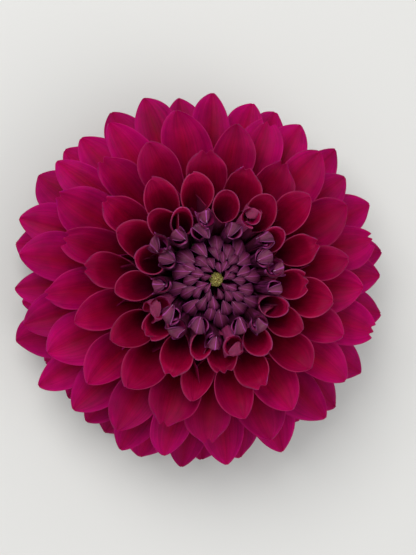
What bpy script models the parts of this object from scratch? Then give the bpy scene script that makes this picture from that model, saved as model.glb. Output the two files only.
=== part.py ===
"""Dahlia flower head, picked, resting face up on the tips of its lowest petals and the cut end of its stem.

Every floret grows from the domed receptacle at the golden angle from the one before. Floret 0 is the
youngest open one: numbers above it run outwards and down the flower, and numbers below it are the closed
florets that arch over the centre. Each open floret is one petal, rolled into a tube at its foot and open
towards its tip. Metres, +Z up, origin on the resting surface under the middle of the flower.
"""

import math

import bmesh
import bpy
from mathutils import Vector

MM = 0.001

# The bloom: an egg-shaped crown of petal tips around the receptacle.
BLOOM_RADIUS = 60 * MM
CROWN_CENTRE_HEIGHT = 20 * MM
CROWN_HEIGHT = 42 * MM
GOLDEN_ANGLE = 137.508
FIRST_AZIMUTH = 340.0
FIRST_TIP_POLAR = 17.5
TIP_POLAR_STEP = 0.9

# The receptacle: the swollen end of the stem that carries every floret.
RECEPTACLE_RADIUS = 18 * MM
RECEPTACLE_HEIGHT = 12 * MM
RECEPTACLE_RIM_HEIGHT = 20 * MM
RECEPTACLE_UNDERSIDE = ((13.5 * MM, 15.2 * MM), (17 * MM, 17.4 * MM))
NECK_RADIUS = 5 * MM
NECK_HEIGHT = 13 * MM
STEM_RADIUS = 3.6 * MM
STEM_HEIGHT = 9 * MM
SEAT_GAP = 0.3 * MM
BAND_THICKNESS = 1.1 * MM

# The petals.
LAST_PETAL = 112
PETAL_HALF_WIDTH = 10.2 * MM
PETAL_THICKNESS = 0.6 * MM
FOOT_RADIUS = 1.0 * MM
ROLLED = 163.0
WIDEST = 0.76
SLENDERNESS = 1.5

# Rows of florets: first, last, polar angle of the feet on the receptacle at each end of the row.
INNER_ROW = (0, 12, 34.6, 34.6)
SINGLE_ROW = (13, 58, 44.5, 56.5)
BACK_ROWS = ((59, 79, 66.0, 66.0), (80, 100, 76.5, 76.5), (101, 112, 87.5, 87.5))

# The closed florets in the middle, and the green point that they surround.
CLOSED_FLORETS = 38
CLOSED_FOOT_POLAR = 20.0
CLOSED_BAND_POLAR = 14.4
CLOSED_DOME_TOP = 55.5 * MM
CLOSED_DOME_RADIUS = 13.7 * MM
EYE_RADIUS = 2.1 * MM

# The green bracts under the bloom. Each foot and tip is (radius, height).
INNER_BRACTS = 8
INNER_BRACT_FOOT = (11.6 * MM, 13.0 * MM)
INNER_BRACT_TIP = (25 * MM, 12.0 * MM)
INNER_BRACT_RING = ((10.2, 13.95), (12.6, 14.5), (12.6, 13.5), (10.2, 12.9))
OUTER_BRACTS = 5
OUTER_BRACT_FOOT = (5.4 * MM, 11.6 * MM)
OUTER_BRACT_TIP = (14.5 * MM, 3.5 * MM)

COLOURS = {
    "petal": ("#9A0A4B", 0.55),
    "closed": ("#5E2747", 0.6),
    "eye": ("#8E9030", 0.6),
    "green": ("#5C7A35", 0.65),
    "bract": ("#7C8A4A", 0.7),
}


def linear(hex_colour):
    """RGBA, linear, of an sRGB hex colour."""
    channels = [int(hex_colour[i : i + 2], 16) / 255 for i in (1, 3, 5)]
    return [c / 12.92 if c <= 0.04045 else ((c + 0.055) / 1.055) ** 2.4 for c in channels] + [1.0]


def material(kind):
    """The plain Principled finish of one kind of tissue."""
    found = bpy.data.materials.get(kind)
    if found:
        return found
    made = bpy.data.materials.new(kind)
    made.use_nodes = True
    shader = made.node_tree.nodes["Principled BSDF"]
    colour, roughness = COLOURS[kind]
    shader.inputs["Base Color"].default_value = linear(colour)
    shader.inputs["Roughness"].default_value = roughness
    shader.inputs["Metallic"].default_value = 0.0
    return made


def vary(number, trait):
    """A fixed value from -1 to 1 for one trait of one floret, so that no two grow alike."""
    wave = math.sin(number * 12.9898 + trait * 78.233) * 43758.5453
    return 2 * (wave - math.floor(wave)) - 1


def between(low, high, share):
    return low + (high - low) * share


def ease(share):
    """0 to 1 with a soft start and end."""
    share = min(1.0, max(0.0, share))
    return share * share * (3 - 2 * share)


def radial(azimuth):
    return Vector((math.cos(azimuth), math.sin(azimuth), 0))


def across(azimuth):
    return Vector((-math.sin(azimuth), math.cos(azimuth), 0))


def direction(azimuth, from_vertical):
    """Unit vector that leans from the vertical by that many degrees, away from the axis."""
    angle = math.radians(from_vertical)
    return radial(azimuth) * math.sin(angle) + Vector((0, 0, math.cos(angle)))


def on_receptacle(azimuth, polar, lift=0.0):
    """(point, outward direction in degrees from vertical) on the dome, lift above its surface."""
    polar = math.radians(polar)
    lean = math.atan2(math.sin(polar) / RECEPTACLE_RADIUS, math.cos(polar) / RECEPTACLE_HEIGHT)
    point = radial(azimuth) * (RECEPTACLE_RADIUS * math.sin(polar))
    point.z = RECEPTACLE_RIM_HEIGHT + RECEPTACLE_HEIGHT * math.cos(polar)
    lean = math.degrees(lean)
    return point + direction(azimuth, lean) * lift, lean


def bezier(a, b, c, d, t):
    """(point, unit tangent) at t on the cubic curve a, b, c, d."""
    u = 1 - t
    point = a * u**3 + b * (3 * u * u * t) + c * (3 * u * t * t) + d * t**3
    tangent = (b - a) * (u * u) + (c - b) * (2 * u * t) + (d - c) * (t * t)
    return point, tangent.normalized()


def foot_polar(number):
    """Where on the receptacle a floret's foot stands, in degrees from the axis."""
    for first, last, start, end in (INNER_ROW, SINGLE_ROW, *BACK_ROWS):
        if first <= number <= last:
            return between(start, end, (number - first) / (last - first))
    return CLOSED_FOOT_POLAR * math.sqrt((CLOSED_FLORETS + number + 1.5) / CLOSED_FLORETS)


def azimuth_of(number):
    return math.radians(FIRST_AZIMUTH + GOLDEN_ANGLE * number + 1.0 * vary(number, 0))


def petal_midrib(number):
    """The four points of the curve that a petal's midrib follows, from its foot to its tip."""
    azimuth = azimuth_of(number)
    foot, lean = on_receptacle(azimuth, foot_polar(number), SEAT_GAP + 0.1 * MM)
    polar = math.radians(FIRST_TIP_POLAR + TIP_POLAR_STEP * number + 0.5 * vary(number, 1))
    reach = BLOOM_RADIUS * (1 + 0.02 * vary(number, 2))
    tip = radial(azimuth) * (reach * math.sin(polar))
    tip.z = CROWN_CENTRE_HEIGHT + CROWN_HEIGHT * math.cos(polar)
    length = (tip - foot).length
    tip_lean = between(16, 132, number / LAST_PETAL)
    return (
        foot,
        foot + direction(azimuth, lean) * (0.32 * length),
        tip - direction(azimuth, tip_lean) * (0.36 * length),
        tip,
    )


def half_width(number, t):
    """Half of the petal's width, measured round its curl, at t along the midrib."""
    foot = FOOT_RADIUS * math.radians(ROLLED)
    widest = PETAL_HALF_WIDTH * between(0.74, 1.0, ease(number / 25)) * (1 + 0.05 * vary(number, 3))
    if t < WIDEST:
        return between(foot, widest, ease(0.12 + 0.88 * t / WIDEST) ** SLENDERNESS)
    past = (t - WIDEST) / (1 - WIDEST)
    return max(0.09 * widest, widest * (1 - past**2.3) ** 0.72)


def curl(number, t):
    """Half of the angle that the petal's cross section turns through: 180 degrees is a closed tube."""
    opens = between(0.66, 0.0, ease(number / 62))
    wide = between(88, 40, ease(number / 60))
    return math.radians(between(ROLLED, wide, ease((t - opens) / (1.02 - opens) * 1.25)))


def petal_point(number, t, s, inset):
    """A point of the petal: t runs along it, s from one margin (-1) to the other (1), inset is its depth."""
    azimuth = azimuth_of(number)
    point, along = bezier(*petal_midrib(number), t)
    side = across(azimuth)
    up = along.cross(side)
    angle = curl(number, t)
    radius = half_width(number, t) / angle
    near = max(radius - inset, 0.25 * radius)
    return point + side * (near * math.sin(s * angle)) + up * (radius - near * math.cos(s * angle))


def closed_grid(mesh, outer, inner):
    """Adds the solid between two equal grids of points, outer and inner, to a bmesh."""
    rows, columns = len(outer), len(outer[0])
    far = [[mesh.verts.new(p) for p in row] for row in outer]
    near = [[mesh.verts.new(p) for p in row] for row in inner]
    for i in range(rows - 1):
        for j in range(columns - 1):
            mesh.faces.new((far[i][j], far[i + 1][j], far[i + 1][j + 1], far[i][j + 1]))
            mesh.faces.new((near[i][j], near[i][j + 1], near[i + 1][j + 1], near[i + 1][j]))
    border = [(i, 0) for i in range(rows)] + [(rows - 1, j) for j in range(1, columns)]
    border += [(i, columns - 1) for i in range(rows - 2, -1, -1)]
    border += [(0, j) for j in range(columns - 2, 0, -1)]
    for (i, j), (k, m) in zip(border, border[1:] + border[:1]):
        mesh.faces.new((far[k][m], far[i][j], near[i][j], near[k][m]))


def finish_object(name, mesh, kind, hidden=False):
    """Turns a bmesh into a named object; a hidden one only feeds a Boolean."""
    bmesh.ops.recalc_face_normals(mesh, faces=mesh.faces)
    data = bpy.data.meshes.new(name)
    mesh.to_mesh(data)
    mesh.free()
    data.shade_smooth()
    data.set_sharp_from_angle(angle=math.radians(50))
    data.materials.append(material(kind))
    made = bpy.data.objects.new(name, data)
    bpy.context.scene.collection.objects.link(made)
    if hidden:
        made.hide_render = True
        made.display_type = "WIRE"
    return made


def petal_mesh(number):
    along = (0.0, 0.3, 0.6, 0.84, 1.0) if number <= SINGLE_ROW[1] else (0.0, 0.4, 0.75, 1.0)
    columns = 6 if number <= INNER_ROW[1] else 4
    sides = [2 * j / columns - 1 for j in range(columns + 1)]
    mesh = bmesh.new()
    grids = [
        [[petal_point(number, t, s, inset) for s in sides] for t in along]
        for inset in (0.0, PETAL_THICKNESS)
    ]
    closed_grid(mesh, *grids)
    return mesh


def make_petal(number, name, hidden=False):
    return finish_object(name, petal_mesh(number), "petal", hidden)


def ring_band(polar, half_breadth, segments=22):
    """The band of tissue round the receptacle that joins the feet of one row."""
    mesh = bmesh.new()
    breadth = math.degrees(half_breadth / (RECEPTACLE_RADIUS * 0.8))
    corners = [(polar - breadth, SEAT_GAP), (polar + breadth, SEAT_GAP)]
    top = SEAT_GAP + BAND_THICKNESS
    corners += [(polar + breadth, top), (polar - breadth, top)]
    rings = []
    for i in range(segments):
        azimuth = math.tau * i / segments
        rings.append([mesh.verts.new(on_receptacle(azimuth, p, lift)[0]) for p, lift in corners])
    for one, other in zip(rings, rings[1:] + rings[:1]):
        for a in range(4):
            b = (a + 1) % 4
            mesh.faces.new((one[a], one[b], other[b], other[a]))
    return mesh


def join_row(name, body, pieces):
    """Joins hidden pieces to the body with a Boolean union, so that the row is one solid."""
    group = bpy.data.collections.new(name + "_pieces")
    for piece in pieces:
        group.objects.link(piece)
    union = body.modifiers.new("join", "BOOLEAN")
    union.operation = "UNION"
    union.operand_type = "COLLECTION"
    union.collection = group
    union.solver = "EXACT"


def make_row(name, row):
    first, last, polar, _ = row
    body = finish_object(name, ring_band(polar, 0.5 * MM), "petal")
    join_row(name, body, [make_petal(n, f"{name}_{n}", hidden=True) for n in range(first, last + 1)])


def turned(mesh, profile, segments):
    """Adds the solid that (radius, height) points make when turned round the axis; both ends lie on it."""
    rings = []
    for radius, height in profile:
        count = segments if radius > 0 else 1
        spots = [radial(math.tau * i / count) * radius for i in range(count)]
        rings.append([mesh.verts.new((p.x, p.y, height)) for p in spots])
    for lower, upper in zip(rings, rings[1:]):
        for i in range(segments):
            j = (i + 1) % segments
            corners = [lower[i % len(lower)], lower[j % len(lower)]]
            corners += [upper[j % len(upper)], upper[i % len(upper)]]
            mesh.faces.new(list(dict.fromkeys(corners)))


def make_stem_and_receptacle():
    """The cut stem, its widening neck and the dome that carries the florets, grown as one piece."""
    profile = [(0, 0), (STEM_RADIUS, 0), (STEM_RADIUS, STEM_HEIGHT), (NECK_RADIUS, NECK_HEIGHT)]
    profile += RECEPTACLE_UNDERSIDE
    steps = 9
    for i in range(steps + 1):
        polar = math.radians(90 * (1 - i / steps))
        height = RECEPTACLE_RIM_HEIGHT + RECEPTACLE_HEIGHT * math.cos(polar)
        profile.append((RECEPTACLE_RADIUS * math.sin(polar) if i < steps else 0, height))
    mesh = bmesh.new()
    turned(mesh, profile, 26)
    finish_object("stem_and_receptacle", mesh, "green")


def closed_midrib(number):
    """The curve of a closed floret: up from its foot, out to a shoulder and in again to its tip."""
    azimuth = azimuth_of(number)
    foot, _ = on_receptacle(azimuth, foot_polar(number), SEAT_GAP)
    share = -number / CLOSED_FLORETS
    tip_radius = between(CLOSED_DOME_RADIUS - 3.5 * MM, EYE_RADIUS + 1.0 * MM, share**0.75)
    shoulder = min(tip_radius + between(4.2, 1.8, share) * MM, CLOSED_DOME_RADIUS)

    def dome(radius):
        return CLOSED_DOME_TOP - 8.5 * MM * (radius / CLOSED_DOME_RADIUS) ** 2

    out = radial(azimuth)
    return (
        foot,
        Vector((foot.x, foot.y, 0)) + out * (1.5 * MM) + Vector((0, 0, foot.z + 12 * MM)),
        out * shoulder + Vector((0, 0, dome(shoulder) - 1.5 * MM)),
        out * tip_radius + Vector((0, 0, dome(tip_radius))),
    )


def closed_floret_mesh(number):
    """A closed floret: a keeled spindle, four-sided in section."""
    azimuth = azimuth_of(number)
    share = -number / CLOSED_FLORETS
    breadth = between(3.2, 1.3, share) * MM
    depth = between(1.3, 0.8, share) * MM
    curve = closed_midrib(number)
    rings = []
    mesh = bmesh.new()
    for t, fullness in ((0.0, 0.3), (0.35, 0.55), (0.72, 1.0), (0.9, 0.7), (1.0, 0.12)):
        point, along = bezier(*curve, t)
        side = across(azimuth)
        up = along.cross(side)
        corners = (side * breadth, up * depth, side * -breadth, up * -depth)
        rings.append([mesh.verts.new(point + c * fullness) for c in corners])
    for lower, upper in zip(rings, rings[1:]):
        for a in range(4):
            b = (a + 1) % 4
            mesh.faces.new((lower[a], lower[b], upper[b], upper[a]))
    mesh.faces.new(rings[0])
    mesh.faces.new(rings[-1])
    return mesh


def make_closed_florets():
    """The closed florets of the centre, pressed together, round the hole that the green eye fills."""
    name = "closed_florets"
    body = finish_object(name, ring_band(CLOSED_BAND_POLAR, 3.0 * MM, 16), "closed")
    florets = [
        finish_object(f"{name}_{n}", closed_floret_mesh(-n), "closed", hidden=True)
        for n in range(1, CLOSED_FLORETS + 1)
    ]
    join_row(name, body, florets)


def make_eye():
    """The green growing point: a slender stalk from the top of the receptacle to the eye of the flower."""
    bottom = RECEPTACLE_RIM_HEIGHT + RECEPTACLE_HEIGHT + SEAT_GAP
    top = CLOSED_DOME_TOP + 0.4 * MM
    profile = [(0, bottom), (0.5 * MM, bottom), (0.7 * MM, top - 8 * MM), (EYE_RADIUS, top - 1.8 * MM)]
    profile += [(EYE_RADIUS * 0.75, top - 0.4 * MM), (0, top)]
    mesh = bmesh.new()
    turned(mesh, profile, 10)
    finish_object("green_eye", mesh, "eye")


def bract_mesh(azimuth, foot, tip, foot_lean, tip_lean, breadth, thickness):
    """A green bract: a leaf-shaped scale from foot to tip, both (radius, height)."""
    start = radial(azimuth) * foot[0] + Vector((0, 0, foot[1]))
    end = radial(azimuth) * tip[0] + Vector((0, 0, tip[1]))
    length = (end - start).length
    curve = (
        start,
        start + direction(azimuth, foot_lean) * (0.35 * length),
        end - direction(azimuth, tip_lean) * (0.35 * length),
        end,
    )
    grids = ([], [])
    for t, fullness in ((0.0, 0.62), (0.35, 1.0), (0.7, 0.8), (1.0, 0.12)):
        point, along = bezier(*curve, t)
        side = across(azimuth)
        up = along.cross(side)
        half = side * (breadth * fullness)
        for grid, lift in zip(grids, (0.0, thickness)):
            edge = up * (lift + 0.1 * breadth)
            grid.append([point - half + edge, point + up * lift, point + half + edge])
    mesh = bmesh.new()
    closed_grid(mesh, *grids)
    return mesh


def make_bracts():
    """Eight thin inner bracts joined in a shallow cup under the petals, and five leafy ones bent down."""
    inner = []
    for i in range(INNER_BRACTS):
        azimuth = math.tau * (i + 0.5) / INNER_BRACTS
        mesh = bract_mesh(azimuth, INNER_BRACT_FOOT, INNER_BRACT_TIP, 75, 112, 6.2 * MM, 0.7 * MM)
        inner.append(finish_object(f"inner_bracts_{i + 1}", mesh, "bract", hidden=True))
    ring = bmesh.new()
    segments = 24
    rings = []
    for i in range(segments):
        out = radial(math.tau * i / segments)
        corners = [out * (r * MM) + Vector((0, 0, z * MM)) for r, z in INNER_BRACT_RING]
        rings.append([ring.verts.new(corner) for corner in corners])
    for one, other in zip(rings, rings[1:] + rings[:1]):
        for a in range(4):
            b = (a + 1) % 4
            ring.faces.new((one[a], one[b], other[b], other[a]))
    body = finish_object("inner_bracts", ring, "bract")
    join_row("inner_bracts", body, inner)
    for i in range(OUTER_BRACTS):
        azimuth = math.tau * (i + 0.3) / OUTER_BRACTS
        mesh = bract_mesh(azimuth, OUTER_BRACT_FOOT, OUTER_BRACT_TIP, 95, 165, 3.6 * MM, 0.9 * MM)
        finish_object(f"outer_bract_{i + 1}", mesh, "green")


def main():
    for old in list(bpy.data.objects):
        bpy.data.objects.remove(old)
    make_stem_and_receptacle()
    make_bracts()
    make_closed_florets()
    make_eye()
    make_row("inner_petals", INNER_ROW)
    for number in range(SINGLE_ROW[0], SINGLE_ROW[1] + 1):
        make_petal(number, f"petal_{number}")
    for name, row in zip(("back_petals_upper", "back_petals_middle", "back_petals_lower"), BACK_ROWS):
        make_row(name, row)


main()
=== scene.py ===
"""The looks of a cut dahlia bloom that lies face up.

Every floret is modelled as the rolled sheet of tissue that it is. The florets stand on the receptacle in the
order in which they grew, each one at the golden angle from the one before. Floret 0 is the youngest open quill:
higher numbers run outwards and down the bloom, and lower ones run in to the green eye.
"""

import math

import bmesh
import bpy
import numpy as np
from mathutils import Matrix, Vector


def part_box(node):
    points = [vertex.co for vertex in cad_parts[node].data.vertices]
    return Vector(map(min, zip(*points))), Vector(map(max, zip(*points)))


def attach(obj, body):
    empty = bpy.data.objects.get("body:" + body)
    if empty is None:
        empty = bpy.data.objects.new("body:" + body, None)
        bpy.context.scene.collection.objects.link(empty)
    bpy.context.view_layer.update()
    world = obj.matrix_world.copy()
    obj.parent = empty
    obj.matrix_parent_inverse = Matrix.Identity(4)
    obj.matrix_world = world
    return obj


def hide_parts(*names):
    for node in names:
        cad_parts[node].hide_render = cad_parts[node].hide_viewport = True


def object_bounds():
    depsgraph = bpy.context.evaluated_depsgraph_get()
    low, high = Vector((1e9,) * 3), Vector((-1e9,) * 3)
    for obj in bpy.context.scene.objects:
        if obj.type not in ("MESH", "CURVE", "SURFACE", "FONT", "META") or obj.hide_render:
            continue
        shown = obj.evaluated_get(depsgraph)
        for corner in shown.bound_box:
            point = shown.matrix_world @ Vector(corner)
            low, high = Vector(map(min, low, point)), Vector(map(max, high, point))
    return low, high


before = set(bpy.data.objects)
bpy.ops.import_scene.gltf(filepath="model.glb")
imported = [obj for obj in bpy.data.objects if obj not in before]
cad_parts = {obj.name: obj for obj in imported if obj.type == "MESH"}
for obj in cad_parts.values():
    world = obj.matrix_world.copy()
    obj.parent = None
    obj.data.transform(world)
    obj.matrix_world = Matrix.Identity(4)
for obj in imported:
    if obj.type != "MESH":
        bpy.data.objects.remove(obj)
cad_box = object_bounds()

MM = 0.001
BODY = "root"

# The frame that the florets grow from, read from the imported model.
STEM_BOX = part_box("stem_and_receptacle")
EYE_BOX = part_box("green_eye")
BLOOM_RADIUS = (cad_box[1].x - cad_box[0].x) / 2
RECEPTACLE_RADIUS = (STEM_BOX[1].x - STEM_BOX[0].x) / 2
RECEPTACLE_HEIGHT = RECEPTACLE_RADIUS * 2 / 3
RIM_HEIGHT = STEM_BOX[1].z - RECEPTACLE_HEIGHT
CROWN_HEIGHT = 0.7 * BLOOM_RADIUS
EYE_HEIGHT = EYE_BOX[1].z
EYE_RADIUS = (EYE_BOX[1].x - EYE_BOX[0].x) / 2
SEAT_GAP = 0.4 * MM

GOLDEN_ANGLE = 137.508
FIRST_AZIMUTH = 340.0
FIRST_TIP_POLAR = 17.5
TIP_POLAR_STEP = 0.9

# The rows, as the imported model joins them: name of the node, first floret, last floret.
ROWS = (
    ("inner_petals", 0, 12),
    ("back_petals_upper", 59, 79),
    ("back_petals_middle", 80, 100),
    ("back_petals_lower", 101, 112),
)
FIRST_CLOSED = -65
LAST_CLOSED = -21
FIRST_HALF_OPEN = -20
LAST_INNER = 12
LAST_PETAL = 112

# The first floret in petal tissue: younger ones are in bud tissue.
FIRST_IN_PETAL_TISSUE = -3

# The florets between which some tips are cleft or toothed.
FIRST_TOOTHED, LAST_TOOTHED = 6, 56

# Florets this many places apart in the spiral lie against each other, with at least this gap between them.
NEIGHBOUR_STEPS = (5, 8, 13, 21)
NEIGHBOUR_GAP = 0.3 * MM

# Where a floret's foot stands, as (floret number, degrees from the top of the dome) pairs.
FOOT_POLAR = ((-65, 2), (-21, 22), (-20, 24), (-1, 29), (0, 34.6), (12, 34.6), (13, 44.5), (58, 56.5), (59, 66),
              (79, 66), (80, 76.5), (100, 76.5), (101, 87.5), (112, 87.5))

# How a floret's shape changes with its place, as (floret number, value) pairs with straight runs between.
GROWTH = {
    # Degrees that an open floret's tip leans out from upright.
    "lean": ((0, -6), (5, 14), (12, 34), (22, 48), (33, 58), (46, 70), (60, 84), (112, 132)),
    # Where along its length the quill opens.
    "opens": ((-65, 0.4), (-21, 0.45), (-20, 0.56), (-12, 0.66), (-1, 0.80), (5, 0.78), (12, 0.70), (22, 0.58),
              (33, 0.45), (46, 0.26), (60, 0.14), (112, 0.10)),
    # Radius of the curl at the tip, in millimetres.
    "curl": ((-65, 1.9), (-57, 2.4), (-49, 3.1), (-43, 3.6), (-29, 4.8), (-21, 5.4), (-20, 3.6), (-10, 3.7),
             (-1, 4.0), (5, 4.5), (12, 5.2), (22, 6.3), (33, 7.8), (46, 10.2), (60, 13), (112, 17)),
    # How much of the curl's radius is lost again at the tip, where a young floret is still folded in.
    "pinch": ((-21, 0), (-20, 0.2), (-4, 0.35), (0, 0.3), (4, 0)),
    # How soon the curl widens: below 1 it does so near the foot, above 1 near the tip.
    "flare": ((-65, 1.4), (-21, 1.5), (-20, 1.2), (12, 1.2), (22, 1.15), (33, 1.0), (46, 0.8), (112, 0.8)),
    # Degrees that each side of the open cup turns through.
    "cup": ((-65, 52), (-21, 42), (-20, 84), (-10, 120), (-1, 168), (5, 164), (12, 152), (22, 132), (33, 106),
            (46, 76), (60, 52), (112, 40)),
    # How late the outline narrows to the tip, and how pointed it ends: 1 is straight-sided, 0.5 round.
    "fullness": ((-65, 3.6), (-21, 4.6), (-20, 3.0), (0, 1.7), (12, 1.6), (22, 2.0), (33, 2.5), (46, 3.4),
                 (60, 3.8), (112, 3.6)),
    "point": ((-65, 0.9), (-21, 0.9), (-20, 0.75), (5, 0.75), (12, 0.9), (33, 0.95), (46, 0.85), (112, 0.75)),
    # Degrees by which the section turns about the midrib, either way.
    "twist": ((-65, 6), (-21, 12), (-20, 48), (-1, 42), (5, 18), (12, 10), (46, 10), (112, 14)),
}


def linear(hex_colour):
    """RGBA, linear, of an sRGB hex colour."""
    channels = [int(hex_colour[i : i + 2], 16) / 255 for i in (1, 3, 5)]
    return [c / 12.92 if c <= 0.04045 else ((c + 0.055) / 1.055) ** 2.4 for c in channels] + [1.0]


def add_node(tree, kind, links=(), stops=(), **settings):
    """Adds a shader node. links maps its sockets to a value, a node or a node's output, and stops are a colour
    ramp's (position, sRGB hex) pairs."""
    made = tree.nodes.new(kind)
    for key, value in settings.items():
        setattr(made, key, value)
    for place, colour in stops[2:]:
        made.color_ramp.elements.new(place)
    for place, element in zip(stops, made.color_ramp.elements if stops else ()):
        element.position = place[0]
        element.color = linear(place[1])
    for socket, source in dict(links).items():
        if isinstance(source, bpy.types.Node):
            source = source.outputs[0]
        if isinstance(source, bpy.types.NodeSocket):
            tree.links.new(source, made.inputs[socket])
        else:
            made.inputs[socket].default_value = source
    return made


def vary(number, trait):
    """A fixed value from -1 to 1 for one trait of one floret, so that no two grow alike."""
    wave = math.sin(number * 12.9898 + trait * 78.233) * 43758.5453
    return 2 * (wave - math.floor(wave)) - 1


def between(low, high, share):
    return low + (high - low) * share


def ease(share):
    """0 to 1 with a soft start and end."""
    share = np.clip(share, 0.0, 1.0)
    return share * share * (3 - 2 * share)


def ridge(place, middle, breadth):
    """1 at the middle, falling to 0 on both sides over about that breadth."""
    return np.exp(-(((place - middle) / breadth) ** 2))


def grown(trait, number):
    places, values = zip(*GROWTH[trait])
    return float(np.interp(number, places, values))


def azimuth_of(number):
    wander = 1.0 if number > LAST_INNER else 2.2
    return math.radians(FIRST_AZIMUTH + GOLDEN_ANGLE * number + wander * vary(number, 0))


# ---------------------------------------------------------------- sheets of tissue


def on_receptacle(polar, lift=SEAT_GAP):
    """(radius, height) and outward lean in degrees of a place on the dome, polar degrees from its top."""
    polar = math.radians(polar)
    lean = math.atan2(math.sin(polar) / RECEPTACLE_RADIUS, math.cos(polar) / RECEPTACLE_HEIGHT)
    radius = RECEPTACLE_RADIUS * math.sin(polar) + lift * math.sin(lean)
    height = RIM_HEIGHT + RECEPTACLE_HEIGHT * math.cos(polar) + lift * math.cos(lean)
    return np.array([radius, height]), math.degrees(lean)


def leaning(degrees):
    """Unit (radial, upward) direction that leans out from upright by that many degrees."""
    return np.array([math.sin(math.radians(degrees)), math.cos(math.radians(degrees))])


def leaned_curve(foot, foot_lean, tip, tip_lean, stiff=(0.32, 0.36)):
    """The four points of a curve from foot to tip, both (radius, height), with its lean at each end."""
    length = float(np.linalg.norm(tip - foot))
    return foot, foot + leaning(foot_lean) * stiff[0] * length, tip - leaning(tip_lean) * stiff[1] * length, tip


def swept(azimuth, curve, t, x, y, ahead=0.0):
    """World positions of a sheet's points. x runs across, y up from the midrib and ahead along it, each with
    one row for every value t of the curve."""
    a, b, c, d = curve
    t = np.asarray(t)[:, None]
    u = 1 - t
    points = a * u**3 + b * (3 * u * u * t) + c * (3 * u * t * t) + d * t**3
    tangents = (b - a) * (u * u) + (c - b) * (2 * u * t) + (d - c) * (t * t)
    tangents = tangents / np.linalg.norm(tangents, axis=1)[:, None]
    out = np.array([math.cos(azimuth), math.sin(azimuth), 0.0])
    side = np.array([-math.sin(azimuth), math.cos(azimuth), 0.0])
    top = np.array([0, 0, 1.0])
    forward = tangents[:, :1] * out + tangents[:, 1:] * top
    up = tangents[:, :1] * top - tangents[:, 1:] * out
    spine = points[:, :1] * out + points[:, 1:] * top
    ahead = np.broadcast_to(ahead, x.shape)[:, :, None] * forward[:, None]
    places = spine[:, None] + x[:, :, None] * side + y[:, :, None] * up[:, None] + ahead
    return places.reshape(-1, 3)


def above_surface(places, softness=0.7 * MM):
    """The places, with the tissue that would sink into the resting surface bent to lie on it."""
    heights = places[:, 2]
    places[:, 2] = (heights + np.sqrt(heights**2 + softness**2)) / 2
    return places


def sheet_faces(rows, columns):
    """Faces of a thin closed sheet: an outer grid, an inner grid after it, and the margin that joins them."""
    far = np.arange(rows * columns).reshape(rows, columns)
    near = far + rows * columns
    faces = []
    for i in range(rows - 1):
        for j in range(columns - 1):
            faces.append((far[i, j], far[i, j + 1], far[i + 1, j + 1], far[i + 1, j]))
            faces.append((near[i, j], near[i + 1, j], near[i + 1, j + 1], near[i, j + 1]))
    border = [(i, 0) for i in range(rows)] + [(rows - 1, j) for j in range(1, columns)]
    border += [(i, columns - 1) for i in range(rows - 2, -1, -1)]
    border += [(0, j) for j in range(columns - 2, 0, -1)]
    for one, other in zip(border, border[1:] + border[:1]):
        faces.append((far[one], far[other], near[other], near[one]))
    return [tuple(int(v) for v in face) for face in faces]


def finish_piece(name, data, material, node):
    """Smooths a mesh, links it as a piece and ties it to the frame."""
    data.materials.append(material)
    data.shade_smooth()
    piece = bpy.data.objects.new(name, data)
    bpy.context.scene.collection.objects.link(piece)
    finer = piece.modifiers.new("finer", "SUBSURF")
    finer.levels = finer.render_levels = 1
    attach(piece, BODY)
    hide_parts(node)


def sheet_mesh(name, faces, layers, traits):
    """The mesh of a sheet's outer and inner layers of points. A trait is one number, one for each point of a
    layer, or a pair of numbers for the two layers."""
    data = bpy.data.meshes.new(name)
    data.from_pydata(above_surface(np.concatenate(layers)), [], faces)
    count = len(layers[0])
    for trait, values in traits.items():
        values = np.ravel(values)
        values = np.repeat(values, count) if len(values) == 2 else np.tile(np.broadcast_to(values, count), 2)
        data.attributes.new(trait, "FLOAT", "POINT").data.foreach_set("value", values.astype(np.float32))
    return data


# ---------------------------------------------------------------- florets

FLORET_ROWS, FLORET_COLUMNS = 26, 19
FLORET_FACES = sheet_faces(FLORET_ROWS, FLORET_COLUMNS)
FLORET_THICKNESS = 0.34 * MM
FOOT_RADIUS = 0.9 * MM
CLOSED = math.radians(184)
HALF_OPEN_HEIGHT = 57.9 * MM

# The youngest open florets' tips stand this many degrees further out, which fades over this many florets.
YOUNG_SPREAD, YOUNG_FADE = 5, 9


def foot_polar(number):
    return float(np.interp(number, *zip(*FOOT_POLAR)))


def disc_height(radius):
    """Height of the closed florets' backs at a radius."""
    return EYE_HEIGHT - 0.5 * MM - 0.04 / MM * (radius - 4 * MM) ** 2


def bud_curve(number):
    """The midrib of a closed or half-open floret, which bows out over its shoulder and comes in to its tip over
    its elders' backs."""
    foot, _ = on_receptacle(foot_polar(number))
    if number <= LAST_CLOSED:
        share = (number - FIRST_CLOSED) / (LAST_CLOSED - FIRST_CLOSED)
        tip_radius, overhang = between(1.4, 9.2, share) * MM, between(2.8, 5.8, share) * MM
        tip_height = disc_height(tip_radius) + 1.0 * MM
        drop = disc_height(tip_radius) - disc_height(tip_radius + overhang) + 1.9 * MM
    else:
        share = (number - FIRST_HALF_OPEN) / -FIRST_HALF_OPEN
        tip_radius, overhang = between(12.6, 20.4, share) * MM, between(4.4, 1.2, share) * MM
        tip_height, drop = HALF_OPEN_HEIGHT, between(1.0, 1.6, share) * MM
    loose = 0.04 if number <= LAST_CLOSED else 0.07
    tip = np.array([tip_radius * (1 + loose * vary(number, 20)), tip_height + 8 * loose * vary(number, 1) * MM])
    shoulder = tip + np.array([overhang, -drop])
    rise = np.array([foot[0] + 1.5 * MM, between(foot[1], tip[1], 0.5)])
    t = 0.64
    u = 1 - t
    bow = (shoulder - foot * u**3 - rise * (3 * u * u * t) - tip * t**3) / (3 * u * t * t)
    return foot, rise, bow, tip


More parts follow.
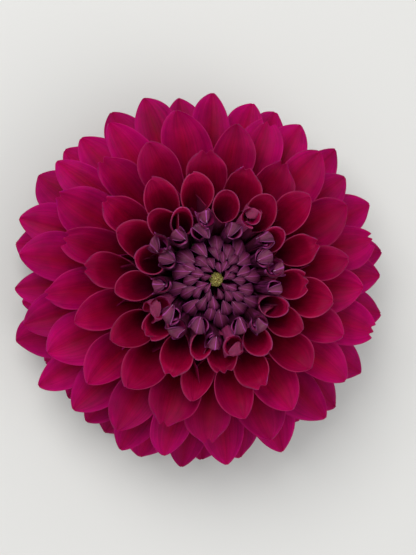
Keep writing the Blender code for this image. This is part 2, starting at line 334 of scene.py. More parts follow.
def open_curve(number):
    """The midrib of an open floret."""
    foot, foot_lean = on_receptacle(foot_polar(number))
    lean = grown("lean", number) + between(4, 8, float(ease(number / 40))) * vary(number, 10)
    polar = FIRST_TIP_POLAR + TIP_POLAR_STEP * number + YOUNG_SPREAD * math.exp(-number / YOUNG_FADE)
    polar = polar + 0.8 * vary(number, 1)
    reach = BLOOM_RADIUS * (1 + between(0.02, 0.035, float(ease(number / 50))) * vary(number, 2))
    tip = np.array([reach * math.sin(math.radians(polar)), RIM_HEIGHT])
    tip[1] += CROWN_HEIGHT * math.cos(math.radians(polar))
    return leaned_curve(foot, foot_lean, tip, lean)


def tip_teeth(number, s):
    """(share of the width left at the tip, how far each column's end is cut back). Most tips are pointed; some
    are cleft in two or three-toothed."""
    kind = vary(number, 15)
    if number < FIRST_TOOTHED or number > LAST_TOOTHED or -0.66 < kind < 0.4:
        return 0.04, 0.0 * s
    teeth = np.cos(math.pi * s) ** 2 if kind > 0 else np.sin(math.pi * s) ** 2
    return between(0.1, 0.2, abs(kind)), teeth * between(1.5, 0.8, float(ease((number - 40) / 30))) * MM


def cross_sections(number, t, s):
    """The floret's section at each value t along it and s across it: the curl's radius, how far each side
    turns, the angle of every point round the curl, and how far it stands out from the curl."""
    closed = number <= LAST_CLOSED
    opens = grown("opens", number)
    share = np.clip((t - opens) / (1 - opens), 0, 1)
    unevenness = between(0.06, 0.13, float(ease(abs(number) / 40)))
    curl = grown("curl", number) * MM * (1 + unevenness * vary(number, 6))
    cup = math.radians(grown("cup", number) * (1 + (0.05 if number >= 0 else 0.14) * vary(number, 3)))
    radius = between(FOOT_RADIUS, curl, t ** grown("flare", number))
    radius = radius * (1 - grown("pinch", number) * ease(share))
    blunt, _ = tip_teeth(number, s)
    fullness = grown("fullness", number) * (1 + 0.14 * vary(number, 7))
    outline = (1 - share**fullness) ** grown("point", number) * (1 - blunt) + blunt
    turn = between(CLOSED, cup, ease(share / 0.5)) * outline
    lopsided = between(0.08, 0.2, float(ease(number / 20))) * vary(number, 14)
    angle = s * turn * (1 + lopsided * s)

    # The youngest quills are scrolls: one margin turns on inside the other.
    scroll = float(ease((number + 16) / 6) * ease((5 - number) / 5) * ease(vary(number, 5) + 0.7))
    inner_side = ease((s * math.copysign(1, vary(number, 17)) - 0.1) / 0.9) * scroll
    angle = angle * (1 + 0.3 * inner_side)
    ring = radius * (1 + 0.03 * s * ease((turn - 2.6) / 0.5)) * (1 - 0.36 * inner_side)

    # Relief, outwards from the curl: two folds beside the midrib, wavy margins, a lip that rolls out, a keel.
    folds = ridge(np.abs(s), 0.4, 0.1) - 0.9 * ridge(s, 0, 0.08)
    waves = np.sin(between(6, 9, abs(vary(number, 9))) * t + 6 * vary(number, 9) + s)
    waves = waves * between(0.25, 0.8, float(ease(number / 30)))
    folds = 0.24 * folds * ease(share * 2) * float(ease(number / 30))
    raised = np.abs(s) ** 3 * ease(share * 3) * waves - folds
    if closed:
        raised = raised + 0.6 * (1 - np.abs(s)) ** 1.5 * ease(t * 2 - 0.8)
    else:
        raised = raised + 0.25 * ease((np.abs(s) - 0.8) / 0.2) * ease(share * 4)
    raised = raised + 0.4 * ridge(s, 0, 0.1) * float(ease(-number / 6)) * ease(t * 2 - 1)
    return radius, turn, angle, ring + raised * MM


def floret_shape(number):
    """The outer and inner layers of points of one floret, with what its neighbours need to lie against it."""
    closed = number <= LAST_CLOSED
    opens = grown("opens", number)
    quill_rows = max(5, int(FLORET_ROWS * 0.4 * opens))
    quill = np.linspace(0, opens, quill_rows, endpoint=False)
    blade = between(opens, 1.0, np.sin(np.linspace(0, math.pi / 2, FLORET_ROWS - quill_rows)))
    t = np.concatenate([quill, blade])[:, None]
    s = np.linspace(-1, 1, FLORET_COLUMNS)[None]
    s = np.sin(s * 1.3) / math.sin(1.3)

    azimuth = azimuth_of(number)
    curve = bud_curve(number) if number < 0 else open_curve(number)
    flat = 0.65 if closed else 1.0
    full_twist = math.radians(grown("twist", number) * vary(number, 11))
    # How far the tip sways to one side, in millimetres.
    sideways = between(1.9, 1.0, float(ease(-number / 20))) * vary(number, 12) - 0.6 * float(ease(-number / 14))
    _, teeth = tip_teeth(number, s)
    share = np.clip((t - opens) / (1 - opens), 0, 1)
    beak = 0.0 if closed else 0.9 * MM * ease((share - 0.7) / 0.3)
    radius, turn, angle, ring = cross_sections(number, t, s)
    layers = []
    for depth in (0.0, FLORET_THICKNESS):
        x, y = (ring - depth) * np.sin(angle), flat * (radius - (ring - depth) * np.cos(angle)) - beak
        x, y = turned(x, y, full_twist * t)
        ahead = -teeth * ease((share - 0.75) / 0.25)
        layers.append(swept(azimuth, curve, t[:, 0], x + sideways * MM * t**2, y, ahead))

    # The axis of the curl, and the directions across and up at each place along it.
    fine = np.linspace(0, 1, 90)[:, None]
    radius, turn, _, _ = cross_sections(number, fine, np.zeros((1, 1)))
    x = np.array([[0.0, 1.0, 0.0]])
    y = np.array([[0.0, 0.0, 1.0]])
    x, y = turned(x * MM, y * MM, full_twist * fine)
    places = swept(azimuth, curve, fine[:, 0], x + sideways * MM * fine**2, y).reshape(-1, 3, 3)
    curl = {
        "midrib": places[:, 0],
        "side": (places[:, 1] - places[:, 0]) / MM,
        "up": (places[:, 2] - places[:, 0]) / MM,
        "radius": radius[:, 0],
        "turn": turn[:, 0],
    }
    whole = np.ones((FLORET_ROWS, FLORET_COLUMNS))
    traits = {
        "along": t * whole,
        "across": s * whole,
        "blade": (t - opens) / (1 - opens) * whole,
        "reverse": (1.0, 0.0),
        "age": number / 60,
        "tone": vary(number, 13),
    }
    return layers, curl, traits


def turned(x, y, angle):
    """x and y turned about the origin."""
    return x * np.cos(angle) - y * np.sin(angle), x * np.sin(angle) + y * np.cos(angle)


def pressed(places, curl):
    """The places of an older floret's points, with those that would stand inside a younger one's curl moved out
    behind its back. The press fades towards the younger one's margins."""
    apart = places[:, None] - curl["midrib"][None]
    nearest = np.argmin((apart**2).sum(2), axis=1)
    offset = apart[np.arange(len(places)), nearest]
    side, up = curl["side"][nearest], curl["up"][nearest]
    radius = curl["radius"][nearest]
    x = (offset * side).sum(1)
    y = (offset * up).sum(1) - radius
    room = (radius + NEIGHBOUR_GAP) ** 2 - x**2
    behind = -np.sqrt(np.clip(room, 0, None))
    held = ease((curl["turn"][nearest] - np.abs(np.arctan2(x, -y)) - 0.1) / 0.4) * ease(1 - 2 * y / radius)
    held = held * (np.abs((offset * np.cross(side, up)).sum(1)) < 0.8 * MM) * (room > y**2)
    return places + (held * (behind - y) * 0.97)[:, None] * up


def make_floret(number, shape, material):
    """One floret: a sheet rolled into a quill at its foot, which opens into a cup, or stays folded as a bud."""
    if number <= LAST_CLOSED:
        name = f"closed_floret_{number - FIRST_CLOSED + 1:02d}"
    else:
        name = f"half_open_floret_{-number:02d}" if number < 0 else f"ray_petal_{number:03d}"
    layers, _, traits = shape
    finish_piece(name, sheet_mesh(name, FLORET_FACES, layers, traits), material, node_of(number))


def node_of(number):
    """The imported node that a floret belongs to."""
    for name, first, last in ROWS:
        if first <= number <= last:
            return name
    return "closed_florets" if number < 0 else f"petal_{number}"


# ---------------------------------------------------------------- the eye, the stem and the green bracts


def make_eye(material):
    """The growing point: a low dome of granules, each one a floret that has yet to form."""
    name = "eye_granules"
    grown_mesh = bmesh.new()
    centre = (EYE_BOX[0] + EYE_BOX[1]) / 2
    top = EYE_HEIGHT - 0.2 * MM
    granules = 46
    for i in range(granules):
        share = (i + 0.5) / granules
        polar = math.acos(1 - 0.93 * share)
        azimuth = math.radians(GOLDEN_ANGLE * i)
        radius = 0.85 * EYE_RADIUS * math.sin(polar)
        rise = 0.75 * EYE_RADIUS * math.cos(polar)
        place = Vector((math.cos(azimuth) * radius, math.sin(azimuth) * radius, rise))
        place += Vector((centre.x, centre.y, top - 0.75 * EYE_RADIUS))
        size = between(0.34, 0.52, share) * MM * (1 + 0.2 * vary(i, 1))
        bead = bmesh.ops.create_icosphere(grown_mesh, subdivisions=2, radius=size)["verts"]
        bmesh.ops.scale(grown_mesh, vec=(1, 1, 0.8 + 0.3 * vary(i, 2)), verts=bead)
        bmesh.ops.translate(grown_mesh, vec=place, verts=bead)
    core = bmesh.ops.create_icosphere(grown_mesh, subdivisions=3, radius=EYE_RADIUS * 0.8)["verts"]
    bmesh.ops.scale(grown_mesh, vec=(1, 1, 0.7), verts=core)
    bmesh.ops.translate(grown_mesh, vec=(centre.x, centre.y, top - 0.8 * EYE_RADIUS), verts=core)
    data = bpy.data.meshes.new(name)
    grown_mesh.to_mesh(data)
    grown_mesh.free()
    finish_piece(name, data, material, "green_eye")


# Radii and heights in millimetres, up the outside of the stem and over the receptacle.
STEM_PROFILE = (
    (3.0, 0.05), (3.45, 0.1), (3.55, 0.5), (3.5, 3), (3.5, 6), (3.6, 8.6), (4.1, 10.8), (5.2, 12.7),
    (7.5, 13.9), (11, 14.7), (14, 15.6), (16.5, 17.2), (17.8, 19.2), (17.9, 21.5), (16.9, 24.2), (14.4, 27.2),
    (10.5, 29.7), (5.5, 31.4), (1.5, 31.8),
)
STEM_SIDES = 60
STEM_RIBS = 10

# The pith, from its edge in to the hollow in the middle, and the sides of its rings.
PITH_PROFILE = ((2.9, 0.04), (2.4, 0.12), (1.1, 0.12), (0.7, 0.5))
PITH_SIDES = 32


def make_stem(material, pith_material):
    """The cut stem with its low ribs, which widens into the receptacle, and the pale pith at the cut."""
    rings = []
    for radius, height in STEM_PROFILE:
        turn = np.linspace(0, math.tau, STEM_SIDES, endpoint=False)
        rib = 0.02 * np.cos(STEM_RIBS * turn) * float(1 - ease((height - 9) / 5))
        wide = radius * MM * (1 + rib)
        rings.append(np.stack([wide * np.cos(turn), wide * np.sin(turn), np.full(STEM_SIDES, height * MM)], 1))
    grid = np.arange(len(rings) * STEM_SIDES).reshape(len(rings), STEM_SIDES)
    faces = []
    for i in range(len(rings) - 1):
        for j in range(STEM_SIDES):
            k = (j + 1) % STEM_SIDES
            faces.append((int(grid[i, j]), int(grid[i, k]), int(grid[i + 1, k]), int(grid[i + 1, j])))
    faces.append(tuple(int(v) for v in grid[0][::-1]))
    faces.append(tuple(int(v) for v in grid[-1]))
    data = bpy.data.meshes.new("cut_stem")
    data.from_pydata(np.concatenate(rings), [], faces)
    finish_piece("cut_stem", data, material, "stem_and_receptacle")

    pith = bmesh.new()
    for radius, height in PITH_PROFILE:
        level = Matrix.Translation((0, 0, height * MM))
        bmesh.ops.create_circle(pith, segments=PITH_SIDES, radius=radius * MM, matrix=level)
    loops = [pith.verts[i * PITH_SIDES : (i + 1) * PITH_SIDES] for i in range(len(PITH_PROFILE))]
    for lower, upper in zip(loops, loops[1:]):
        for i in range(PITH_SIDES):
            k = (i + 1) % PITH_SIDES
            pith.faces.new((lower[i], upper[i], upper[k], lower[k]))
    pith.faces.new(loops[-1])
    pith_data = bpy.data.meshes.new("stem_pith")
    pith.to_mesh(pith_data)
    pith.free()
    finish_piece("stem_pith", pith_data, pith_material, "stem_and_receptacle")


INNER_BRACTS, OUTER_BRACTS, CHAFF_SCALES = 8, 5, 5
BRACT_ROWS, BRACT_COLUMNS = 16, 11
BRACT_FACES = sheet_faces(BRACT_ROWS, BRACT_COLUMNS)


def make_bract(name, place, azimuth, curve, breadth, depth, node, material):
    """A leaf-shaped bract: a sheet with a raised midrib and wavy margins, widest a third of the way along."""
    t = np.linspace(0, 1, BRACT_ROWS)[:, None]
    s = np.linspace(-1, 1, BRACT_COLUMNS)[None]
    whole = np.ones((BRACT_ROWS, BRACT_COLUMNS))
    outline = between(0.62, 1.0, ease(t / 0.4)) * (1 - t**3.2) ** 0.75 + 0.04
    x = s * breadth * outline * (1 + 0.04 * vary(place, 2))
    wave = 0.35 * MM * np.abs(s) ** 2 * np.sin(8 * t + 3 * s + 5 * vary(place, 3))
    midrib = 0.25 * MM * ridge(s, 0, 0.14) * (1 - t)
    layers = []
    for lift in (0.0, depth):
        rise = lift * (1 - 0.5 * np.abs(s) ** 2) + 0.12 * breadth * s * s + wave * t
        y = rise - (midrib if lift == 0.0 else 0.0)
        layers.append(swept(azimuth, curve, t[:, 0], x, y * whole))
    traits = {"along": t * whole, "across": s * whole, "tone": vary(place, 4)}
    finish_piece(name, sheet_mesh(name, BRACT_FACES, layers, traits), material, node)


def make_bracts(membrane, leafy):
    """Papery inner bracts under the petals, leafy outer ones bent down, and chaff round the disc."""
    for i in range(INNER_BRACTS):
        foot, tip = np.array([11.6, 13.6]) * MM, np.array([25, 12.3]) * MM
        curve = leaned_curve(foot, 75, tip, 108 + 4 * vary(i, 5), (0.35, 0.35))
        azimuth = math.tau * (i + 0.5) / INNER_BRACTS
        make_bract(f"inner_bract_{i + 1}", i, azimuth, curve, 6.0 * MM, 0.35 * MM, "inner_bracts",
                   membrane)
    for i in range(OUTER_BRACTS):
        foot, tip = np.array([4.6, 11.8]) * MM, np.array([14.2, 3.9]) * MM
        curve = leaned_curve(foot, 95, tip, 165 + 6 * vary(i, 6), (0.35, 0.35))
        azimuth = math.tau * (i + 0.3) / OUTER_BRACTS
        make_bract(f"outer_bract_{i + 1}", i + 20, azimuth, curve, 3.5 * MM, 0.8 * MM, f"outer_bract_{i + 1}",
                   leafy)
    for i in range(CHAFF_SCALES):
        azimuth = math.radians(GOLDEN_ANGLE * i * 2 + 40)
        reach = (14.4 + 0.6 * vary(i, 7)) * MM
        foot, tip = np.array([9 * MM, 44 * MM]), np.array([reach, disc_height(reach) - 0.6 * MM])
        curve = leaned_curve(foot, 10, tip, -15 + 20 * vary(i, 8))
        make_bract(f"chaff_scale_{i + 1:02d}", i + 40, azimuth, curve, 0.9 * MM, 0.12 * MM, "closed_florets",
                   membrane)


# ---------------------------------------------------------------- finishes


def new_material(name):
    made = bpy.data.materials.new(name)
    made.use_nodes = True
    return made, made.node_tree, made.node_tree.nodes["Principled BSDF"]


def petal_tissue():
    """Living petal: a thin satin skin over wet cells, deep crimson inside the cups and dusty rose behind. It
    gives a soft broad highlight, and the colour turns to magenta where the light reaches the outer petals."""
    made, tree, shader = new_material("satin_petal_tissue")
    across, blade, reverse, tone, floret_age = (
        add_node(tree, "ShaderNodeAttribute", attribute_name=trait).outputs["Fac"]
        for trait in ("across", "blade", "reverse", "tone", "age")
    )
    age = add_node(tree, "ShaderNodeMapRange", {"Value": floret_age, "From Min": -0.2, "From Max": 1.0})
    margin = add_node(tree, "ShaderNodeMath", {0: across}, operation="ABSOLUTE")

    # The inside: crimson, darkened down the quill and towards the foot of each cup as painted shade, and
    # lighter towards the tip as a painted glow of light through the petal; it opens to magenta on the old
    # petals.
    depth = add_node(tree, "ShaderNodeMapRange", {"Value": blade, "From Min": -0.5, "From Max": 1.0})
    young = add_node(tree, "ShaderNodeValToRGB", {"Fac": depth},
                     ((0.0, "#86003A"), (0.45, "#82002C"), (0.8, "#8C0030"), (1.0, "#980840")))
    old = add_node(tree, "ShaderNodeValToRGB", {"Fac": blade},
                   ((0.0, "#74001C"), (0.35, "#880022"), (0.7, "#980032"), (1.0, "#A4004E")))
    ageing = add_node(tree, "ShaderNodeMapRange", {"Value": age, "From Min": 0.3, "From Max": 0.85})
    inside = add_node(tree, "ShaderNodeMix", {0: ageing, 6: young, 7: old}, data_type="RGBA")
    flush = add_node(tree, "ShaderNodeMapRange",
                     {"Value": age, "From Min": 0.45, "From Max": 1.0, "To Max": 0.85})
    edge_flush = add_node(tree, "ShaderNodeMath", {0: margin, 1: flush}, operation="MULTIPLY")
    inside = add_node(tree, "ShaderNodeMix", {0: edge_flush, 6: inside.outputs[2], 7: linear("#B00068")},
                      data_type="RGBA")

    # The reverse: dusty rose on the quills, wine on the old petals.
    back_young = add_node(tree, "ShaderNodeValToRGB", {"Fac": depth},
                          ((0.0, "#9A3464"), (0.5, "#90305A"), (1.0, "#903458")))
    back_old = add_node(tree, "ShaderNodeValToRGB", {"Fac": blade}, ((0.0, "#820434"), (1.0, "#9C0450")))
    back = add_node(tree, "ShaderNodeMix", {0: ageing, 6: back_young, 7: back_old}, data_type="RGBA")
    sides = add_node(tree, "ShaderNodeMix", {0: reverse, 6: inside.outputs[2], 7: back.outputs[2]},
                     data_type="RGBA")

    # The lip, where the reverse rolls over into sight, is a line about 1 mm wide: the reverse's dusty rose,
    # lightened on the older florets as a painted highlight along the rim.
    lip_and_painted_highlight_colour = add_node(tree, "ShaderNodeValToRGB", {"Fac": age},
                          ((0.1, "#8A3A6A"), (0.35, "#9A3256"), (0.7, "#A41E54"), (1.0, "#B41068")))
    lip = add_node(tree, "ShaderNodeMapRange", {"Value": margin, "From Min": 0.9, "From Max": 1.0})
    lip_open = add_node(tree, "ShaderNodeMapRange",
                        {"Value": blade, "From Min": -0.05, "From Max": 0.15, "To Max": 0.6})
    lip_share = add_node(tree, "ShaderNodeMath", {0: lip, 1: lip_open}, operation="MULTIPLY")
    edged = add_node(tree, "ShaderNodeMix", {0: lip_share, 6: sides.outputs[2], 7: lip_and_painted_highlight_colour},
                     data_type="RGBA")

    # Veins run the petal's length, about one for each millimetre of its width.
    place = add_node(tree, "ShaderNodeCombineXYZ",
                     {"X": add_node(tree, "ShaderNodeMath", {0: across, 1: 9.0}, operation="MULTIPLY"),
                      "Y": blade,
                      "Z": add_node(tree, "ShaderNodeMath", {0: tone, 1: 20.0}, operation="MULTIPLY")})
    vein = add_node(tree, "ShaderNodeTexNoise",
                    {"Vector": place, "Scale": 1.6, "Detail": 3.0, "Roughness": 0.6})
    vein_shade = add_node(tree, "ShaderNodeValToRGB", {"Fac": vein}, ((0.3, "#DCDCDC"), (0.7, "#FFFFFF")))
    veined = add_node(tree, "ShaderNodeMix", {0: 1.0, 6: edged.outputs[2], 7: vein_shade}, data_type="RGBA",
                      blend_type="MULTIPLY")
    # Clouding of about 6 mm, where the pigment is uneven.
    coords = add_node(tree, "ShaderNodeTexCoord").outputs["Object"]
    cloud = add_node(tree, "ShaderNodeTexNoise", {"Vector": coords, "Scale": 160.0, "Detail": 3.0})
    cloud_shade = add_node(tree, "ShaderNodeValToRGB", {"Fac": cloud}, ((0.3, "#D8D8D8"), (0.7, "#FFFFFF")))
    clouded = add_node(tree, "ShaderNodeMix", {0: 1.0, 6: veined.outputs[2], 7: cloud_shade}, data_type="RGBA",
                       blend_type="MULTIPLY")
    bright = add_node(tree, "ShaderNodeMapRange",
                      {"Value": tone, "From Min": -1.0, "From Max": 1.0, "To Min": 0.82, "To Max": 1.12})
    toned = add_node(tree, "ShaderNodeHueSaturation", {"Color": clouded.outputs[2], "Value": bright})
    tree.links.new(toned.outputs[0], shader.inputs["Base Color"])

    # Cells of about 0.1 mm are too fine to show, so the grain is drawn at about half a millimetre.
    grain = add_node(tree, "ShaderNodeTexNoise", {"Vector": coords, "Scale": 2000.0, "Detail": 2.0})
    fine = add_node(tree, "ShaderNodeMath", {0: grain, 1: 0.25}, operation="MULTIPLY")
    height = add_node(tree, "ShaderNodeMath", {0: vein, 1: fine}, operation="ADD")
    bump = add_node(tree, "ShaderNodeBump", {"Height": height, "Strength": 0.3, "Distance": 0.00025})
    tree.links.new(bump.outputs[0], shader.inputs["Normal"])
    rough = add_node(tree, "ShaderNodeMapRange",
                     {"Value": cloud, "From Min": 0.3, "From Max": 0.7, "To Min": 0.46, "To Max": 0.6})
    tree.links.new(rough.outputs[0], shader.inputs["Roughness"])
    shader.inputs["Specular IOR Level"].default_value = 0.04
    shader.inputs["Subsurface Weight"].default_value = 0.35
    shader.inputs["Subsurface Radius"].default_value = (1.0, 0.12, 0.35)
    shader.inputs["Subsurface Scale"].default_value = 0.002
    return made


def bud_tissue():
    """Closed and half-open florets: firm dusky skin in purple-brown. A bright keel, side veins and margins in
    magenta draw each one's outline, and its point is pale."""
    made, tree, shader = new_material("dusky_bud_tissue")
    along, across, reverse, tone, floret_age = (
        add_node(tree, "ShaderNodeAttribute", attribute_name=trait).outputs["Fac"]
        for trait in ("along", "across", "reverse", "tone", "age")
    )
    margin = add_node(tree, "ShaderNodeMath", {0: across}, operation="ABSOLUTE")
    # Painted light: each floret is darker towards its foot, as painted shade where its neighbours cover it, and
    # lighter towards its tip, as a painted highlight on its top.
    base = add_node(tree, "ShaderNodeValToRGB", {"Fac": along},
                    ((0.4, "#2E0A20"), (0.62, "#40122C"), (0.84, "#5A1C3A"), (1.0, "#7A2E54")))
    # Half-open florets are redder than closed ones.
    redness = add_node(tree, "ShaderNodeMapRange",
                       {"Value": floret_age, "From Min": -0.36, "From Max": -0.1, "To Max": 0.75})
    reddened = add_node(tree, "ShaderNodeMix", {0: redness, 6: base, 7: linear("#5A1A34")}, data_type="RGBA")
    # Painted shade: each floret darkens from its keel out to its margins, into the dark grooves between
    # neighbours, and is lightened a little along the keel as a painted highlight.
    hollow = add_node(tree, "ShaderNodeMapRange",
                      {"Value": margin, "From Min": 0.1, "From Max": 0.85, "To Min": 1.1, "To Max": 0.4})
    shaded = add_node(tree, "ShaderNodeHueSaturation", {"Color": reddened.outputs[2], "Value": hollow})
    inside = add_node(tree, "ShaderNodeMix", {0: reverse, 6: linear("#6A0C38"), 7: shaded}, data_type="RGBA")

    # Side veins spread from the keel at a narrow angle, about 0.8 mm apart.
    fan = add_node(tree, "ShaderNodeMath", {0: along, 1: 5.0, 2: tone}, operation="MULTIPLY_ADD")
    place = add_node(tree, "ShaderNodeCombineXYZ",
                     {"X": add_node(tree, "ShaderNodeMath", {0: across, 1: 7.0}, operation="MULTIPLY"),
                      "Y": fan,
                      "Z": add_node(tree, "ShaderNodeMath", {0: tone, 1: 20.0}, operation="MULTIPLY")})
    vein = add_node(tree, "ShaderNodeTexNoise", {"Vector": place, "Scale": 1.3, "Detail": 3.0})
    vein_share = add_node(tree, "ShaderNodeMapRange",
                          {"Value": vein, "From Min": 0.5, "From Max": 0.68, "To Max": 0.55})
    veined = add_node(tree, "ShaderNodeMix", {0: vein_share, 6: inside.outputs[2], 7: linear("#7A2260")},
                      data_type="RGBA")
    strong = add_node(tree, "ShaderNodeMapRange",
                      {"Value": tone, "From Min": -1.0, "To Min": 0.4, "To Max": 0.95})
    keel = add_node(tree, "ShaderNodeMapRange",
                    {"Value": margin, "From Min": 0.06, "From Max": 0.0, "To Max": strong})
    keel_end = add_node(tree, "ShaderNodeMapRange", {"Value": along, "From Min": 0.6, "From Max": 0.92})
    keel_share = add_node(tree, "ShaderNodeMath", {0: keel, 1: keel_end}, operation="MULTIPLY")
    keeled = add_node(tree, "ShaderNodeMix", {0: keel_share, 6: veined.outputs[2], 7: linear("#A0409A")},
                      data_type="RGBA")
    edge = add_node(tree, "ShaderNodeMapRange",
                    {"Value": margin, "From Min": 0.86, "From Max": 1.0, "To Max": 0.75})
    edge_end = add_node(tree, "ShaderNodeMapRange", {"Value": along, "From Min": 0.6, "From Max": 0.85})
    edge_share = add_node(tree, "ShaderNodeMath", {0: edge, 1: edge_end}, operation="MULTIPLY")
    edged = add_node(tree, "ShaderNodeMix", {0: edge_share, 6: keeled.outputs[2], 7: linear("#A03C8C")},
                     data_type="RGBA")
    last = add_node(tree, "ShaderNodeMapRange",
                    {"Value": along, "From Min": 0.97, "From Max": 1.0, "To Max": 6.0})
    point = add_node(tree, "ShaderNodeMath", {0: last, 1: keel_share}, operation="MULTIPLY", use_clamp=True)
    pointed = add_node(tree, "ShaderNodeMix", {0: point, 6: edged.outputs[2], 7: linear("#BC90BC")},
                       data_type="RGBA")
    bright = add_node(tree, "ShaderNodeMapRange",
                      {"Value": tone, "From Min": -1.0, "From Max": 1.0, "To Min": 0.82, "To Max": 1.15})
    toned = add_node(tree, "ShaderNodeHueSaturation", {"Color": pointed.outputs[2], "Value": bright})
    tree.links.new(toned.outputs[0], shader.inputs["Base Color"])
    bump = add_node(tree, "ShaderNodeBump", {"Height": vein, "Strength": 0.8, "Distance": 0.0004})
    tree.links.new(bump.outputs[0], shader.inputs["Normal"])
    coords = add_node(tree, "ShaderNodeTexCoord").outputs["Object"]
    cloud = add_node(tree, "ShaderNodeTexNoise", {"Vector": coords, "Scale": 400.0, "Detail": 3.0})
    rough = add_node(tree, "ShaderNodeMapRange",
                     {"Value": cloud, "From Min": 0.3, "From Max": 0.7, "To Min": 0.32, "To Max": 0.5})
    tree.links.new(rough.outputs[0], shader.inputs["Roughness"])
    shader.inputs["Specular IOR Level"].default_value = 0.18
    return made


def eye_tissue():
    """The eye's granules: matt, sappy yellow-green, with painted highlights in pale yellow-green on the raised
    patches and painted shade in olive in the dips between them.
    """
    made, tree, shader = new_material("granular_green_tissue")
    coords = add_node(tree, "ShaderNodeTexCoord").outputs["Object"]
    # Patches of about 0.7 mm, so that neighbouring granules differ. The same noise raises the bump, so the pale
    # patches are painted highlights on the rises and the olive ones painted shade in the dips.
    patch = add_node(tree, "ShaderNodeTexNoise", {"Vector": coords, "Scale": 1400.0, "Detail": 2.0})
    colour = add_node(tree, "ShaderNodeValToRGB", {"Fac": patch},
                      ((0.3, "#5A4E18"), (0.5, "#80742C"), (0.7, "#A69C54")))
    tree.links.new(colour.outputs[0], shader.inputs["Base Color"])
    bump = add_node(tree, "ShaderNodeBump", {"Height": patch, "Strength": 0.4, "Distance": 0.0002})
    tree.links.new(bump.outputs[0], shader.inputs["Normal"])
    shader.inputs["Roughness"].default_value = 0.6
    shader.inputs["Subsurface Weight"].default_value = 0.15
    shader.inputs["Subsurface Scale"].default_value = 0.0005
    return made


def stem_skin():
    """Living green stem and bract: smooth and faintly waxy, mottled, with darker lengthwise streaks."""
    made, tree, shader = new_material("waxy_green_skin")
    coords = add_node(tree, "ShaderNodeTexCoord").outputs["Object"]
    # Streaks about 1 mm apart round the stem and 12 mm long.
    stretched = add_node(tree, "ShaderNodeMapping", {"Vector": coords, "Scale": (1.0, 1.0, 0.09)})
    streak = add_node(tree, "ShaderNodeTexNoise", {"Vector": stretched, "Scale": 900.0, "Detail": 3.0})
    colour = add_node(tree, "ShaderNodeValToRGB", {"Fac": streak},
                      ((0.3, "#3E5A22"), (0.5, "#56762E"), (0.72, "#7C9446")))
    tree.links.new(colour.outputs[0], shader.inputs["Base Color"])
    bump = add_node(tree, "ShaderNodeBump", {"Height": streak, "Strength": 0.35, "Distance": 0.0003})
    tree.links.new(bump.outputs[0], shader.inputs["Normal"])
    rough = add_node(tree, "ShaderNodeMapRange",
                     {"Value": streak, "From Min": 0.3, "From Max": 0.7, "To Min": 0.4, "To Max": 0.55})
    tree.links.new(rough.outputs[0], shader.inputs["Roughness"])
    shader.inputs["Specular IOR Level"].default_value = 0.4
    shader.inputs["Subsurface Weight"].default_value = 0.1
    shader.inputs["Subsurface Scale"].default_value = 0.001
    return made


def bract_membrane():
    """Papery inner bracts and chaff: thin, pale olive, with fine parallel veins and margins dried to tan."""
    made, tree, shader = new_material("papery_bract_membrane")
    along, across, tone = (
        add_node(tree, "ShaderNodeAttribute", attribute_name=trait).outputs["Fac"]
        for trait in ("along", "across", "tone")
    )
    # Veins about 0.6 mm apart.
    place = add_node(tree, "ShaderNodeCombineXYZ",
                     {"X": add_node(tree, "ShaderNodeMath", {0: across, 1: 14.0}, operation="MULTIPLY"),
                      "Y": along,
                      "Z": add_node(tree, "ShaderNodeMath", {0: tone, 1: 20.0}, operation="MULTIPLY")})
    vein = add_node(tree, "ShaderNodeTexNoise", {"Vector": place, "Scale": 1.2, "Detail": 3.0})
    green = add_node(tree, "ShaderNodeValToRGB", {"Fac": vein},
                     ((0.3, "#5E6E2E"), (0.55, "#84904A"), (0.75, "#A2A868")))
    margin = add_node(tree, "ShaderNodeMath", {0: across}, operation="ABSOLUTE")
    dried = add_node(tree, "ShaderNodeMapRange",
                     {"Value": margin, "From Min": 0.8, "From Max": 1.0, "To Max": 0.8})
    colour = add_node(tree, "ShaderNodeMix", {0: dried, 6: green, 7: linear("#9C8458")}, data_type="RGBA")
    tree.links.new(colour.outputs[2], shader.inputs["Base Color"])
    bump = add_node(tree, "ShaderNodeBump", {"Height": vein, "Strength": 0.5, "Distance": 0.0002})
    tree.links.new(bump.outputs[0], shader.inputs["Normal"])
    shader.inputs["Roughness"].default_value = 0.6
    shader.inputs["Specular IOR Level"].default_value = 0.3
    shader.inputs["Subsurface Weight"].default_value = 0.2
    shader.inputs["Subsurface Scale"].default_value = 0.0006
    return made


def stem_pith():
    """The cut end: wet, pale green-white pith, drawn in cells."""
    made, tree, shader = new_material("wet_cut_pith")
    coords = add_node(tree, "ShaderNodeTexCoord").outputs["Object"]
    # Cells drawn about 0.3 mm across.
    cell = add_node(tree, "ShaderNodeTexVoronoi", {"Vector": coords, "Scale": 3300.0})
    colour = add_node(tree, "ShaderNodeValToRGB", {"Fac": cell.outputs["Distance"]},
                      ((0.0, "#D8DCB0"), (0.6, "#B4BE84"), (1.0, "#8A9A5A")))
    tree.links.new(colour.outputs[0], shader.inputs["Base Color"])
    bump = add_node(tree, "ShaderNodeBump",
                    {"Height": cell.outputs["Distance"], "Strength": 0.4, "Distance": 0.0002})
    tree.links.new(bump.outputs[0], shader.inputs["Normal"])
    shader.inputs["Roughness"].default_value = 0.35
    return made


petal_material = petal_tissue()
bud_material = bud_tissue()
skin_material = stem_skin()
membrane_material = bract_membrane()
shapes = {floret: floret_shape(floret) for floret in range(FIRST_CLOSED, LAST_PETAL + 1)}
for floret in range(FIRST_HALF_OPEN, LAST_PETAL + 1):
    for older in (floret + step for step in NEIGHBOUR_STEPS if floret + step <= LAST_PETAL):
        layers = shapes[older][0]
        layers[:] = [pressed(layer, shapes[floret][1]) for layer in layers]
for floret, shape in shapes.items():
    make_floret(floret, shape, petal_material if floret >= FIRST_IN_PETAL_TISSUE else bud_material)
make_eye(eye_tissue())
make_stem(skin_material, stem_pith())
make_bracts(membrane_material, skin_material)


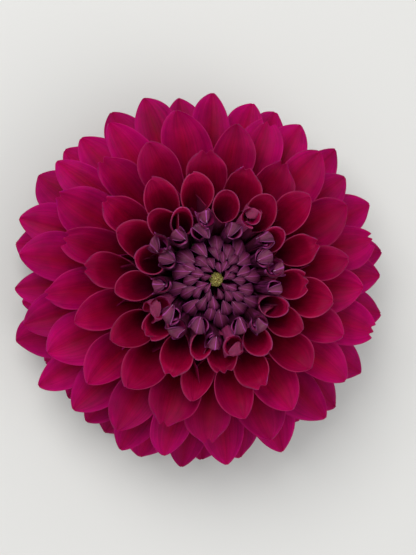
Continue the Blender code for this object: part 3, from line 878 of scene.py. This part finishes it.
# ---------------------------------------------------------------- the stage


def make_floor():
    """A plain pale board that runs past the view on every side."""
    half = 1.5
    data = bpy.data.meshes.new("floor")
    corners = [(-half, -half, 0), (half, -half, 0), (half, half, 0), (-half, half, 0)]
    data.from_pydata(corners, [], [(0, 1, 2, 3)])
    made, _, shader = new_material("pale_floor")
    shader.inputs["Base Color"].default_value = linear("#D3D2CE")
    shader.inputs["Roughness"].default_value = 0.85
    shader.inputs["Specular IOR Level"].default_value = 0.2
    data.materials.append(made)
    floor = bpy.data.objects.new("floor", data)
    bpy.context.scene.collection.objects.link(floor)


def add_softbox(name, place, size, energy):
    """A square white area light that points at the middle of the bloom."""
    light = bpy.data.lights.new(name, "AREA")
    light.size = size
    light.energy = energy
    lamp = bpy.data.objects.new(name, light)
    lamp.location = place
    lamp.rotation_euler = (Vector((0, 0, 0.03)) - Vector(place)).to_track_quat("-Z", "Y").to_euler()
    bpy.context.scene.collection.objects.link(lamp)


def make_camera():
    """Looks down on the bloom from 9 degrees off its axis, on the -X side, with +Y up in the view."""
    tilt = math.radians(9)
    distance = 0.55
    frame_width = 133.5 * MM
    data = bpy.data.cameras.new("camera")
    data.sensor_fit = "HORIZONTAL"
    data.lens = data.sensor_width * distance / frame_width
    data.clip_start = 0.01
    camera = bpy.data.objects.new("camera", data)
    target = Vector((3 * MM, 0.6 * MM, 20 * MM))
    camera.location = target + Vector((-math.sin(tilt), 0, math.cos(tilt))) * distance
    camera.rotation_euler = (0, -tilt, 0)
    bpy.context.scene.collection.objects.link(camera)
    bpy.context.scene.camera = camera


make_floor()
make_camera()
add_softbox("key", (-0.35, 0.45, 0.9), 0.7, 7.5)
add_softbox("fill", (0.6, -0.4, 0.7), 0.9, 2.5)
world = bpy.data.worlds.new("soft_daylight")
bpy.context.scene.world = world
world.use_nodes = True
world.node_tree.nodes["Background"].inputs["Color"].default_value = linear("#F4F6FA")
world.node_tree.nodes["Background"].inputs["Strength"].default_value = 0.68
bpy.context.scene.view_settings.view_transform = "Standard"
